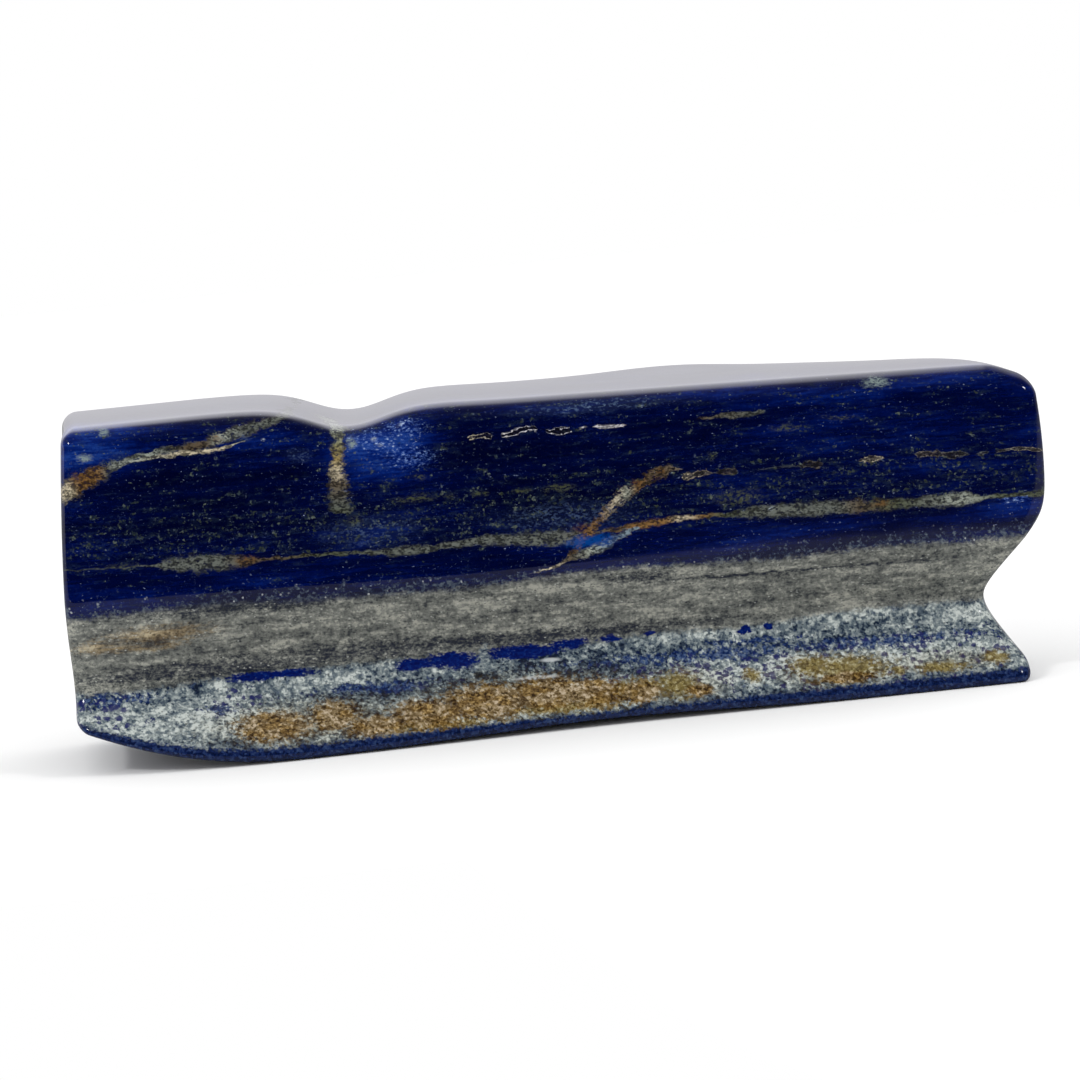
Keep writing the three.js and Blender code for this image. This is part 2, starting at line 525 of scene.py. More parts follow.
# %% [markdown]
# ### Crumbs and streaks
#
# Two small groups do most of the drawing. `crumbs` gives a rock of packed crystals. A Voronoi texture
# cuts space into cells, one for each crystal, with a tone and a kind of its own. A fine noise breaks up
# its edges, and a few crystals are dark specks or bright sparks, picked by a chance of their own. `Blotch`
# is a coarser noise, for clumps of many crystals.

# %% Crumbs
CRYSTAL = {"scale": (0.7, 0.7, 1.1), "edge": (0.55, 0.3)}
GRIT_SCALE = (0.45, 0.45, 0.8)
BLOTCH_SCALE = (0.17, 0.17, 0.3)
SPECK_CHANCE = (0.12, 0.08)
SPARK_CHANCE = (0.975, 0.985)


def make_crumbs():
    outputs = dict.fromkeys(("Tone", "Grit", "Kind", "Blotch", "Speck", "Spark"), "Float")
    n, given, result = new_group("crumbs", {"Place": "Vector", "Size": "Float"}, outputs)
    spot = n.scale(given["Place"], n.math("DIVIDE", 1, given["Size"]))
    cells = n.cells(n.vector("MULTIPLY", spot, CRYSTAL["scale"]))
    own_tone, chance, kind = n.split(cells["Color"])
    inside = n.step(cells["Distance"], *CRYSTAL["edge"])
    grit = n.noise(n.vector("MULTIPLY", spot, GRIT_SCALE), detail=3, roughness=0.7)["Fac"]
    grit = n.math("SUBTRACT", grit, 0.5)
    tone = n.weigh(0.25, (own_tone, 0.5), (grit, 1.5))
    n.feed(result["Tone"], tone)
    n.feed(result["Grit"], grit)
    n.feed(result["Kind"], kind)
    blotch = n.noise(n.vector("MULTIPLY", spot, BLOTCH_SCALE), detail=2, roughness=0.6)["Fac"]
    n.feed(result["Blotch"], n.step(blotch, 0.3, 0.7, -0.5, 0.5))
    n.feed(result["Speck"], n.times(n.step(chance, *SPECK_CHANCE), inside))
    n.feed(result["Spark"], n.times(n.step(chance, *SPARK_CHANCE), inside))
    return n.tree


crumbs_group = make_crumbs()
print("crumbs:", len(crumbs_group.nodes), "nodes")

# %% [markdown]
# `streaks` is a noise that is pulled out along the layers, as a flowing rock pulls out its minerals. A
# stretched noise gives thousands of streaks at once, where drawn lines would have to be placed one by
# one. `Shift` moves it to another part of the noise, so that two uses of the group don't show the same
# streaks.

# %% Streaks
def make_streaks():
    inputs = {"Place": "Vector", "Length": "Float", "Thickness": "Float", "Shift": "Float"}
    n, given, result = new_group("streaks", inputs, {"Value": "Float"})
    along = n.math("DIVIDE", 1, given["Length"])
    up = n.math("DIVIDE", 1, given["Thickness"])
    spot = n.vector("MULTIPLY", given["Place"], n.combine(along, along, up))
    spot = n.vector("ADD", spot, n.combine(given["Shift"], given["Shift"], given["Shift"]))
    n.feed(result["Value"], n.step(n.noise(spot, detail=3, roughness=0.6)["Fac"], 0.3, 0.7))
    return n.tree


streaks_group = make_streaks()
print("streaks:", len(streaks_group.nodes), "nodes")

# %% [markdown]
# ### Placing stains, veins and layer lines
#
# The stains and veins are placed one by one. A height is given where the stone's front shows it, and
# `layer_height` turns it into a height in the pile of layers. A stain is a lump in three dimensions, so
# it ends inside the stone, `depth` millimetres in. The grit of the crumbs is added to the distance from
# it, so that crumbs of rock bite into its edge: `bite` says how much, and `softness` how slowly the stain
# fades.

# %% Stains
def layer_height(x, z):
    return z + DIP * x


def stains(n, place, grit, spots, depth=20, bite=1.6, softness=0.4):
    """One mask for several stains, each given as along, height, half length and half thickness."""
    nearest = n.times(grit, bite)
    distances = []
    for x, z, half_length, half_height in spots:
        shrink = (1 / half_length, 1 / depth, 1 / half_height)
        middle = [-c * s for c, s in zip((x, FRONT, layer_height(x, z)), shrink)]
        distances.append(n.vector("LENGTH", n.vector("MULTIPLY_ADD", place, shrink, middle)))
    least = distances[0]
    for distance in distances[1:]:
        least = n.math("MINIMUM", least, distance)
    return n.step(n.math("ADD", least, nearest), 1 + softness, 1 - softness)


print("60 mm up at the right end is", layer_height(LENGTH / 2, 60), "mm up in the layers")

# %% [markdown]
# A vein is a thin sheet. Its path and its half thickness are curves through a few points, and its colours
# are a ramp along it. Where the half thickness falls to nothing, the vein ends. `bite` says how deep the
# rock's crumbs eat into it, and `fade` between which shares of its half thickness it goes from nothing to
# full.

# %% Lines and veins
HIGHEST = 80
THICKEST = 4
REACH_FADE = 6
DARK_CORE = shade(10, 10, 26)


def line(n, along, points, highest):
    """A smooth curve through given points from 0 to highest, from one end of the stone to the other."""
    node = n.add("FloatCurve")
    curve = node.mapping.curves[0]
    places = [(x / LENGTH + 0.5, value / highest) for x, value in points]
    while len(curve.points) < len(places):
        curve.points.new(1, 1)
    for point, place in zip(curve.points, places):
        point.location = place
    node.mapping.update()
    n.feed(node.inputs["Value"], n.weigh(0.5, (along, 1 / LENGTH)))
    return n.times(node.outputs[0], highest)


def above(n, along, level, points):
    """The height in the layers above a line that is given by its heights on the front."""
    points = [(x, layer_height(x, z)) for x, z in points]
    return n.math("SUBTRACT", level, line(n, along, points, HIGHEST))


def vein(n, along, height, inward, edge, facts):
    """A vein's mask and colour, from the height above its path. A hollow one has a dark core and a pale rim.

    Some veins go right through the stone, and some reach only a given number of millimetres in from the
    front.
    """
    width = line(n, along, facts["half width"], THICKEST)
    share = n.math("DIVIDE", n.math("ABSOLUTE", height), n.math("MAXIMUM", width, 0.01))
    torn = n.weigh(share, (edge, facts.get("bite", 1)))
    mask = n.times(n.step(torn, *facts.get("fade", (1.4, 0.6))), n.step(width, 0.05, 0.25))
    if "reach" in facts:
        mask = n.times(mask, n.step(inward, facts["reach"], facts["reach"] - REACH_FADE))
    place = n.weigh(0.5, (along, 1 / LENGTH))
    tint = n.ramp(place, *((x / LENGTH + 0.5, colour) for x, colour in facts["shades"]))
    if "hollow" in facts:
        tint = n.blend(n.step(torn, 0.95, 0.7, 0, facts["hollow"]), tint, DARK_CORE)
    return mask, tint


print("layers fall by", round(DIP * LENGTH, 1), "mm from end to end")

# %% [markdown]
# ### The blue rock
#
# Lazurite gives the deep ultramarine. It lies in streaks from almost black to royal blue. Two streak
# patterns, one broad and one fine, add up to a tone, and a colour ramp turns the tone into blue. `NIGHT`
# lists darker clouds, and `ROYAL_CLOUDS_AND_SHEEN` brighter ones, each with its own share at the end. Some
# of the brighter ones are painted sheen. The two long thin bands just under the top front edge stand for
# that rounded edge's reflection, and the cloud on the notch's right wall beside the saddle is partly a
# painted sheen of the light that wall catches.

# %% Deep blue
BLUES = [
    (0.0, shade(0, 2, 30)),
    (0.3, shade(0, 5, 45)),
    (0.5, shade(0, 10, 62)),
    (0.72, shade(4, 26, 92)),
    (1.0, shade(26, 58, 130)),
]
NIGHT = [(-66, 52, 26, 9), (2, 51, 28, 9), (24, 57, 14, 5)]
# Lighter blue clouds. The bands at 0 and 62 mm, just under the top front edge, are painted sheen of the
# edge's reflection, and the cloud at -30 mm on the notch wall is partly painted sheen.
ROYAL_CLOUDS_AND_SHEEN = [(-30, 59, 10, 7, 0.46), (-90, 66, 14, 6, 0.46), (-35, 42, 9, 4, 0.2), (93, 35.5, 7, 2.5, 0.2),
         (-54, 62, 10, 3, 0.2), (76, 54, 38, 11, 0.1), (40, 34, 34, 4, 0.1), (-60, 35, 40, 3, 0.1),
         (0, 64.5, 34, 2.6, 0.15), (62, 62.5, 40, 2.4, 0.13)]


def paint_lazurite(n, flow, ragged, crumbs):
    """The plain blue, and its fine streaks, which the grains will follow."""
    grit, crumb = crumbs["Grit"], crumbs["Tone"]
    broad = n.group(streaks_group, Place=flow, Length=26.0, Thickness=3.4, Shift=3.0)["Value"]
    fine = n.group(streaks_group, Place=flow, Length=5.0, Thickness=0.6, Shift=11.0)["Value"]
    night = stains(n, flow, grit, NIGHT, depth=30, softness=0.5)
    tone = n.weigh(0.03, (broad, 0.34), (fine, 0.2), (n.math("SUBTRACT", crumb, 0.5), 0.2), (night, -0.18))
    # The lighter clouds. Among them is the painted sheen under the top edge and on the notch wall.
    for *spot, share in ROYAL_CLOUDS_AND_SHEEN:
        tone = n.weigh(tone, (stains(n, ragged, grit, [spot], depth=14, softness=0.7), share))
    return n.ramp(tone, *BLUES), fine


print("dark clouds:", len(NIGHT), "and bright ones:", len(ROYAL_CLOUDS_AND_SHEEN))

# %% [markdown]
# Olive and grey grains lie in the blue in clumps, which follow the layers. `SWARM` says how crowded they
# are at each height in the layers: the band just under the long grey vein is clean. A clump first dims
# the blue a little, and then single grains show in it. Small meshes could be scattered for the grains
# too, but polish has ground them level with the rock, so they are colour alone.

# %% Grains in the blue
SWARM = [(30, 0.0), (36, 0.02), (39, 0.6), (44, 0.8), (48, 0.65), (52, 0.35), (58, 0.22), (62, 0.3),
         (70, 0.5)]
GRAIN_SHADES = [
    (0.2, shade(22, 32, 54)),
    (0.4, shade(38, 47, 40)),
    (0.55, shade(60, 65, 36)),
    (0.7, shade(48, 60, 70)),
    (0.9, shade(100, 108, 84)),
]
CLUMP_SCALE = (1 / 7, 1 / 7, 1 / 1.3)
DIMMED_BLUE = shade(22, 31, 46)


def sprinkle_grains(n, blue, flow, level, fine, crumbs, coarse):
    clump = n.noise(n.vector("MULTIPLY", flow, CLUMP_SCALE), detail=3, roughness=0.6)["Fac"]
    clump = n.step(n.weigh(clump, (line(n, level, SWARM, 1), 0.2), (fine, 0.16)), 0.58, 0.82)
    dim = n.times(clump, n.step(n.math("ADD", crumbs["Tone"], crumbs["Blotch"]), 0.2, 1.1, 0, 0.6))
    blue = n.blend(dim, blue, DIMMED_BLUE)
    grain = n.weigh(n.math("ADD", coarse["Grit"], 0.27), (coarse["Kind"], 0.55), (clump, 0.34))
    return n.blend(n.step(grain, 0.97, 1.13, 0, 0.62), blue, n.ramp(coarse["Tone"], *GRAIN_SHADES))


print("grains are densest at", max(SWARM, key=lambda point: point[1])[0], "mm in the layers")

# %% [markdown]
# Near the saddle the blue is mottled with pale calcite. The same ramp value picks where a fleck shows and
# how pale it is, so the palest ones stand in the middle of the mottled clouds.

# %% Pale mottling
PALE_MOTTLE = [(-32, 61, 7, 3.4), (-26, 62.6, 6, 2.6), (-25, 57, 6, 3), (93, 36.4, 4, 1.1)]
MOTTLE_SHADES = [
    (0.3, shade(16, 42, 112)),
    (0.55, shade(40, 66, 134)),
    (0.75, shade(86, 112, 166)),
    (0.95, shade(176, 190, 214)),
]


def mottle_blue(n, blue, ragged, crumbs):
    pale = stains(n, ragged, crumbs["Grit"], PALE_MOTTLE, depth=12, bite=2.2, softness=0.8)
    mottle = n.weigh(0.42, (crumbs["Kind"], 0.16), (crumbs["Grit"], 2.0))
    fleck = n.step(n.weigh(mottle, (pale, 0.5)), 0.8, 1.25, 0, 0.85)
    return n.blend(fleck, blue, n.ramp(mottle, *MOTTLE_SHADES))


print("mottled clouds:", len(PALE_MOTTLE))

# %% [markdown]
# ### The grey marble
#
# Under the blue lies a band of calcite and diopside marble. It has no pure colour: light and dark crumbs,
# drawn out into fine streaks, with sand-coloured stains and cream at the left and a few dark wisps of
# slate blue. Two of the wisps' spots, low in the middle, are painted shade instead. They darken the
# bottom of the marble, where it lies in the groove's waist. As in the blue, noises add up to one tone, and
# a ramp gives the tone its grey.

# %% Grey marble
MARBLE_GREYS = [
    (0.05, shade(26, 30, 38)),
    (0.28, shade(62, 65, 66)),
    (0.5, shade(92, 94, 90)),
    (0.72, shade(112, 114, 109)),
    (1.0, shade(154, 154, 144)),
]
SANDS = [(0.2, shade(64, 52, 36)), (0.5, shade(108, 92, 66)), (0.8, shade(144, 128, 98)),
         (1.0, shade(174, 160, 130))]
SAND = [(-78, 27, 9, 1.6), (-88, 25.4, 6, 1.2), (-80, 24.6, 6, 0.8)]
CREAM_STREAKS = [(-99, 25.5, 6, 4.6), (-92, 24.4, 6, 1.8), (73, 24.8, 6, 1.2), (81, 22.8, 6, 1.2),
                 (-14, 26.6, 10, 0.8), (-2, 28, 8, 0.7), (-62, 28.8, 8, 0.7), (66, 16.4, 8, 1.6),
                 (-50, 27.5, 6, 0.6), (40, 27.4, 12, 0.6)]
# The spots at -36 and -6 mm, low in the marble at the groove's waist, are painted shade. They darken the
# bottom of the marble band.
WISPS_AND_WAIST_SHADE = [(-60, 30.8, 18, 1.2), (-66, 18.6, 15, 1.6), (-84, 18.4, 9, 0.9), (44, 26.6, 26, 0.24),
         (-36, 19, 16, 1.6), (-6, 18.4, 24, 1.2), (18, 28.2, 5, 0.9)]
SLATE_WISP_AND_SHADE = shade(18, 25, 44)
MARBLE_SPECK = shade(26, 30, 36)
MARBLE_SPARK = shade(180, 182, 176)


def paint_marble(n, flow, ragged, crumbs, coarse):
    grit, crumb = crumbs["Grit"], crumbs["Tone"]
    streak = n.group(streaks_group, Place=flow, Length=6.0, Thickness=0.8, Shift=41.0)["Value"]
    broad = n.group(streaks_group, Place=ragged, Length=14.0, Thickness=2.4, Shift=47.0)["Value"]
    tone = n.weigh(-0.19, (broad, 0.44), (streak, 0.22), (coarse["Blotch"], 0.28), (crumb, 0.4))
    cream = stains(n, ragged, grit, CREAM_STREAKS, depth=12, bite=2.4, softness=0.7)
    wisp_and_shade = stains(n, ragged, grit, WISPS_AND_WAIST_SHADE, depth=40, bite=3.0, softness=0.8)
    tone = n.weigh(tone, (coarse["Tone"], 0.5), (wisp_and_shade, -0.32), (cream, 0.2))
    grey = n.ramp(tone, *MARBLE_GREYS)
    sand = stains(n, ragged, grit, SAND, depth=18, bite=2.4, softness=0.6)
    grey = n.blend(n.times(sand, n.step(streak, 0.1, 0.6, 0.35, 0.9)), grey, n.ramp(tone, *SANDS))
    # This lays dark slate over the wisps, and painted shade at the bottom of the marble band.
    wisp_and_shade = n.times(wisp_and_shade, n.step(crumb, 0.7, 0.35, 0.05, 0.6))
    grey = n.blend(wisp_and_shade, grey, SLATE_WISP_AND_SHADE)
    grey = n.blend(n.times(crumbs["Speck"], 0.6), grey, MARBLE_SPECK)
    return n.blend(n.times(crumbs["Spark"], 0.6), grey, MARBLE_SPARK)


print("sand stains:", len(SAND), "cream streaks:", len(CREAM_STREAKS), "wisps:", len(WISPS_AND_WAIST_SHADE))

# %% [markdown]
# ### The speckled foot
#
# The foot is white calcite, peppered with grey-green and navy. Its crumbs run from slate to white by
# their tone. White clouds lift the tone, and slate clouds lower it.

# %% Speckled foot
FOOT_CRUMBS = [
    (0.05, shade(14, 24, 42)),
    (0.25, shade(48, 60, 75)),
    (0.45, shade(84, 96, 104)),
    (0.65, shade(119, 128, 130)),
    (0.85, shade(156, 164, 162)),
    (1.05, shade(188, 194, 190)),
]
WHITE_CLOUDS = [(-72, 9.5, 18, 4), (-90, 9, 10, 4), (-40, 13.8, 18, 1.4), (46, 7.4, 14, 2.6),
                (72, 7, 24, 3.4), (64, 15.8, 15, 1.3), (86, 13.8, 12, 1.8), (-24, 13.4, 5, 1),
                (30, 7.6, 8, 3), (-66.4, 15, 1.6, 1.2), (32, 15, 16, 0.9)]
SLATE_CLOUDS = [(-26, 11.6, 14, 2), (2, 12, 16, 2.4)]


def paint_calcite(n, ragged, crumbs):
    grit = crumbs["Grit"]
    broad = n.group(streaks_group, Place=ragged, Length=5.0, Thickness=2.2, Shift=71.0)["Value"]
    white = stains(n, ragged, grit, WHITE_CLOUDS, softness=0.8)
    slate = stains(n, ragged, grit, SLATE_CLOUDS, softness=0.8)
    tone = n.weigh(-0.26, (crumbs["Tone"], 1.0), (broad, 0.34), (crumbs["Blotch"], 0.34))
    return n.ramp(n.weigh(tone, (white, 0.37), (slate, -0.2)), *FOOT_CRUMBS)


print("white clouds:", len(WHITE_CLOUDS), "slate clouds:", len(SLATE_CLOUDS))

# %% [markdown]
# Blue lies in the foot in two ways: in ragged bands, where some kinds of crumb are blue, and in round
# navy dots, which are the cells of a Voronoi texture. A few short pale threads and two dark dots have
# places of their own.

# %% Blue bands and dots in the foot
BAND_BLUES = [(0.2, shade(4, 20, 62)), (0.5, shade(24, 46, 96)), (0.9, shade(72, 94, 128))]
BLUE_BANDS = [(30, 11.4, 26, 1.3), (62, 10.6, 22, 1.1), (-36, 11.8, 12, 0.8), (-89, 14.5, 8, 1.2),
              (40, 13, 10, 0.6), (-32, 11, 6, 0.7), (-68, 10.6, 3, 1.2)]
NAVY_DOTS = [(66, 7, 30, 3.6), (26, 8, 16, 2.6), (-92, 12, 7, 4), (-62, 12.5, 5, 2)]
NAVY_DOT = {"size": 1.4, "density": 0.5, "colour": shade(24, 28, 84)}
FOOT_SPECK = shade(28, 38, 48)
FOOT_LINES = [
    (shade(186, 190, 192), 0.8, [(-4.6, 10.4, 4.6, 0.35), (-1.2, 13.5, 1.9, 0.4)]),
    (shade(8, 12, 22), 0.9, [(-15.9, 12.2, 0.9, 0.75), (-13.9, 12.2, 0.8, 0.7)]),
]


def mark_foot(n, foot, flow, ragged, crumbs):
    grit = crumbs["Grit"]
    band = stains(n, ragged, grit, BLUE_BANDS, bite=3.0, softness=0.8)
    band = n.weigh(n.times(crumbs["Kind"], 0.5), (band, 0.55), (crumbs["Blotch"], -0.3))
    foot = n.blend(n.step(band, 0.48, 0.8, 0, 0.9), foot, n.ramp(crumbs["Tone"], *BAND_BLUES))
    dots = stains(n, flow, grit, NAVY_DOTS, softness=0.6)
    cells = n.cells(n.scale(flow, 1 / NAVY_DOT["size"]))
    dot = n.math("LESS_THAN", n.split(cells["Color"])[0], n.times(dots, NAVY_DOT["density"]))
    dot = n.times(dot, n.step(n.math("ADD", cells["Distance"], grit), 0.66, 0.4, 0, 0.85))
    foot = n.blend(dot, foot, NAVY_DOT["colour"])
    for colour, share, spots in FOOT_LINES:
        foot = n.blend(n.times(stains(n, flow, grit, spots, depth=12, bite=0.4), share), foot, colour)
    return n.blend(n.times(crumbs["Speck"], 0.6), foot, FOOT_SPECK)


print("blue bands:", len(BLUE_BANDS), "areas of navy dots:", len(NAVY_DOTS))

# %% [markdown]
# Iron from weathered pyrite made the ochre near the bottom: rusty grains with pale crumbs between them,
# and a thin olive halo round each patch. At the right the stains are thinner, and golden. The lowest edge
# is blue again. It follows the underside, so it rises with the bow at the left end.

# %% Ochre and the blue rim
OCHRES = [
    (0.1, shade(42, 31, 17)),
    (0.3, shade(80, 62, 36)),
    (0.5, shade(106, 87, 55)),
    (0.7, shade(136, 117, 84)),
    (0.95, shade(182, 164, 138)),
]
GOLDS = [(0.15, shade(70, 58, 26)), (0.4, shade(102, 87, 40)), (0.65, shade(130, 115, 60)),
         (0.9, shade(162, 154, 112))]
RIM_BLUES = [(0.3, shade(2, 14, 48)), (0.6, shade(15, 31, 74)), (0.95, shade(46, 64, 98))]
RIM_HEIGHT = 2.9
OCHRE = [(-58, 6.4, 8, 3.0), (-46, 7.2, 5, 2.8), (-38, 4.6, 7, 2), (-27, 5.6, 8, 3.0), (-15, 6.8, 9, 3.4),
         (-3, 7.2, 8, 3.2), (6, 6.4, 7, 2.8), (15, 5.8, 4, 2.2), (27, 4.9, 3.0, 1.2), (56, 4.3, 6, 1.0)]
GOLD = [(23, 6.6, 4, 2.4), (15, 6.4, 6, 2), (57, 6, 8, 2.4), (50, 7.4, 4, 2), (66.4, 4.7, 1.6, 1.1),
        (75.4, 4.5, 5, 1.0), (86.4, 5.2, 2.2, 1.4), (38, 6.8, 2, 1.2), (0, 4.4, 12, 1.1), (-26, 3.8, 12, 1)]
OLIVE_HALO = [(-50, 6.4, 20, 4.2), (-8, 7, 22, 4.4), (24, 6, 9, 3), (54, 6, 11, 3.2), (76, 5.4, 11, 2)]


def stain_foot(n, foot, ragged, crumbs, above_underside):
    """The foot with its stains and its rim, and a mask of the ochre."""
    grit, crumb = crumbs["Grit"], crumbs["Tone"]
    halo = stains(n, ragged, grit, OLIVE_HALO, bite=2.4, softness=0.6)
    golden = n.ramp(crumb, *GOLDS)
    foot = n.blend(n.times(halo, 0.28), foot, golden)
    gold = stains(n, ragged, grit, GOLD, depth=10, bite=2.6, softness=0.5)
    foot = n.blend(n.times(gold, 0.86), foot, golden)
    ochre = stains(n, ragged, grit, OCHRE, depth=14, bite=1.8, softness=0.3)
    rusty = n.group(streaks_group, Place=ragged, Length=4.0, Thickness=2.0, Shift=83.0)["Value"]
    earth = n.ramp(n.weigh(0.12, (rusty, -0.3), (crumb, 1.1), (crumbs["Blotch"], 0.2)), *OCHRES)
    earth = n.blend(n.step(rusty, 0.35, 0.75, 0, 0.85), earth, n.vector("MULTIPLY", earth, (1.08, 0.9, 0.4)))
    foot = n.blend(n.times(ochre, 0.92), foot, earth)
    height = n.weigh(n.math("SUBTRACT", above_underside, RIM_HEIGHT), (grit, -3.0))
    return n.blend(n.step(height, 0.35, -0.35), foot, n.ramp(crumb, *RIM_BLUES)), ochre


print("rusty stains:", len(OCHRE), "golden ones:", len(GOLD))

# %% [markdown]
# ### The veins
#
# Pale sheets cut through the blue where cracks filled with calcite and feldspar, and iron has rusted them
# in places. A thin mesh in a crack would show only where it meets the face, so a vein is colour too. Each
# has its path, its half thickness and the colours along it. All three are given at places along the
# stone, in millimetres from its middle. A path's second number is its height over the floor. `reach` says
# how far in a vein goes, and a vein without it goes right through.

# %% Vein colours
OLIVE = shade(52, 56, 42)
GREY = shade(66, 69, 64)
PALE = shade(104, 108, 100)
CREAM = shade(140, 131, 110)
RUST = shade(86, 62, 30)
WHITE = shade(160, 157, 160)
BROWN = shade(60, 51, 38)
print("vein colours:", len({OLIVE, GREY, PALE, CREAM, RUST, WHITE, BROWN}))

# %% [markdown]
# The long grey vein runs from end to end between the clean band and the grains. The rising vein climbs
# from the left end to the top, with a thin white branch on its lower side.

# %% The long grey vein and the rising vein
LONG_GREY_VEIN = {
    "path": [(-100, 41.7), (-81, 40.8), (-70, 40.4), (-56, 39.6), (-43, 39.3), (-29, 38.4), (-13, 38.8),
             (3, 37.9), (14, 38.5), (29, 39.4), (42, 39.1), (64, 37.9), (80, 37.5), (100, 36.9)],
    "half width": [(-100, 0.2), (-79, 0.22), (-76, 0.8), (-69, 1.5), (-62, 1.2), (-54, 0.3), (-44, 0.3),
                   (-32, 0.6), (-28, 0.9), (-20, 0.6), (-8, 1.1), (4, 1.3), (10, 0.4), (20, 0.6), (34, 0.4),
                   (42, 1.1), (60, 1.3), (72, 0.9), (82, 1.2), (88, 0.4), (100, 0.7)],
    "shades": [(-98, OLIVE), (-78, GREY), (-64, GREY), (-60, BROWN), (-54, BROWN), (-44, OLIVE),
               (-28, GREY), (-8, GREY), (2, GREY), (12, BROWN), (18, RUST), (24, RUST), (27, CREAM),
               (31, RUST), (35, OLIVE), (44, GREY), (58, GREY), (62, BROWN), (70, OLIVE), (76, GREY),
               (82, PALE), (90, OLIVE)],
    "bite": 0.75,
}
RISING_VEIN = {
    "path": [(-100, 55.5), (-94, 57), (-88, 59.6), (-80, 62.4), (-66, 63.8), (-60, 65), (-48, 67.6),
             (-30, 71)],
    "half width": [(-100, 1.6), (-90, 1.7), (-84, 1.0), (-80, 0.45), (-75, 0.6), (-66, 0.8), (-60, 1.1),
                   (-52, 0.8), (-45, 0.4), (-40, 0)],
    "shades": [(-98, CREAM), (-93, CREAM), (-91, RUST), (-87, RUST), (-85, GREY), (-83, PALE), (-80, GREY),
               (-77, PALE), (-73, GREY), (-70, BROWN), (-65, BROWN), (-62, PALE), (-57, GREY), (-50, GREY)],
}
SIDE_BRANCH = {
    "path": [(-84, 61), (-78, 62), (-70, 62.4), (-62, 62.6), (-54, 64.6), (-40, 66)],
    "half width": [(-84, 0), (-78, 0.35), (-68, 0.45), (-62, 0.35), (-57, 0)],
    "shades": [(-80, PALE), (-70, CREAM), (-62, CREAM), (-58, PALE)],
    "reach": 14,
}
print("long grey vein:", 2 * max(width for _, width in LONG_GREY_VEIN["half width"]), "mm thick at most")

# %% [markdown]
# The slanting vein climbs out of the long grey one to the right, and its foot comes out below it.

# %% The slanting vein
SLANTING_VEIN = {
    "path": [(-2, 30), (2, 32.4), (8, 38.0), (11, 40.9), (16, 45), (20, 47), (24.7, 49), (32, 48)],
    "half width": [(3, 0), (5, 0.8), (8, 1.1), (12, 0.9), (16, 1.2), (20, 0.8), (23, 1.1), (26, 0.5),
                   (29, 0)],
    "shades": [(2, BROWN), (8, RUST), (11, RUST), (14, CREAM), (17, PALE), (19, RUST), (22, BROWN),
               (27, BROWN)],
    "reach": 20,
    "bite": 1.7,
}
SLANTING_FOOT = {
    "path": [(-8, 30.6), (0, 32.2), (5, 33.9), (9, 35), (16, 37.6), (24, 40)],
    "half width": [(-8, 0), (1, 0.3), (5, 0.7), (12, 0.9), (17, 0.5), (19, 0)],
    "shades": [(0, CREAM), (4, BROWN), (8, PALE), (12, shade(80, 92, 100))],
    "reach": 12,
}
print("slanting vein:", 2 * max(width for _, width in SLANTING_VEIN["half width"]), "mm thick at most")

# %% [markdown]
# Short beads and rows follow the layers. Some are hollow: a pale rim round a dark core, as agate fills a
# hole. One set of curves holds a whole row, because its half thickness falls to nothing between two
# beads. Curves of its own for each bead would take many more nodes.

# %% Beads and rows
BEADS = {
    "path": [(-14, 59.4), (-8, 59.3), (-7, 59.0), (0, 60), (2, 59.3), (8, 58.9)],
    "half width": [(-13.8, 0), (-12.6, 0.5), (-9.4, 0.5), (-8.2, 0), (-7.4, 0), (-6.2, 0.5), (-0.4, 0.55),
                   (0.8, 0), (1.6, 0), (2.8, 0.55), (6.6, 0.5), (7.8, 0)],
    "shades": [(-12, CREAM), (-4, WHITE), (20, WHITE)],
    "hollow": 1.0,
    "fade": (1.3, 0.95),
    "reach": 10,
}
UPPER_ROW = {
    "path": [(8, 58.9), (12, 59), (19, 58.5), (26, 58.5), (30.6, 58.5), (44, 58.5), (50, 58.6)],
    "half width": [(8, 0), (8.8, 0.2), (10, 0.2), (10.8, 0), (11.4, 0), (12, 0.28), (17, 0.26), (19, 0),
                   (30, 0), (34, 0.25), (42, 0.5), (46, 0)],
    "shades": [(8, WHITE), (20, WHITE), (30, BROWN), (44, GREY)],
    "reach": 12,
}
RIGHT_ROW = {
    "path": [(24, 47.6), (36, 47.5), (52, 47.2), (66, 47), (75, 47.1), (86, 46), (92, 46.2), (100, 45.5)],
    "half width": [(27.6, 0), (29, 0.6), (33, 0.6), (34.4, 0.1), (36, 0.6), (38, 0.6), (39.4, 0),
                   (44, 0.12), (51, 0.15), (52.5, 0.5), (55, 0.5), (56.4, 0), (62.6, 0), (64, 0.5),
                   (67.4, 0.45), (68.6, 0), (73.6, 0), (75.6, 0.55), (84, 0.5), (86, 0), (87.4, 0.35),
                   (89.4, 0), (91, 0.25), (99, 0.25)],
    "shades": [(28, CREAM), (36, BROWN), (46, OLIVE), (56, BROWN), (62, CREAM), (72, CREAM), (78, BROWN),
               (88, GREY), (98, CREAM)],
    "hollow": 0.85,
    "fade": (1.3, 0.9),
    "reach": 18,
}
print("the rows reach in by", [row["reach"] for row in (BEADS, UPPER_ROW, RIGHT_ROW)], "mm")

# %% [markdown]
# One vein stands upright and crosses the layers. It is the same kind of curve with the two directions
# swapped, and it reaches only part of the way in. Its heights are heights in the layers. All the veins
# are then laid over the rock. Their own light and dark crumbs go from a third of a vein's colour to twice
# that colour.

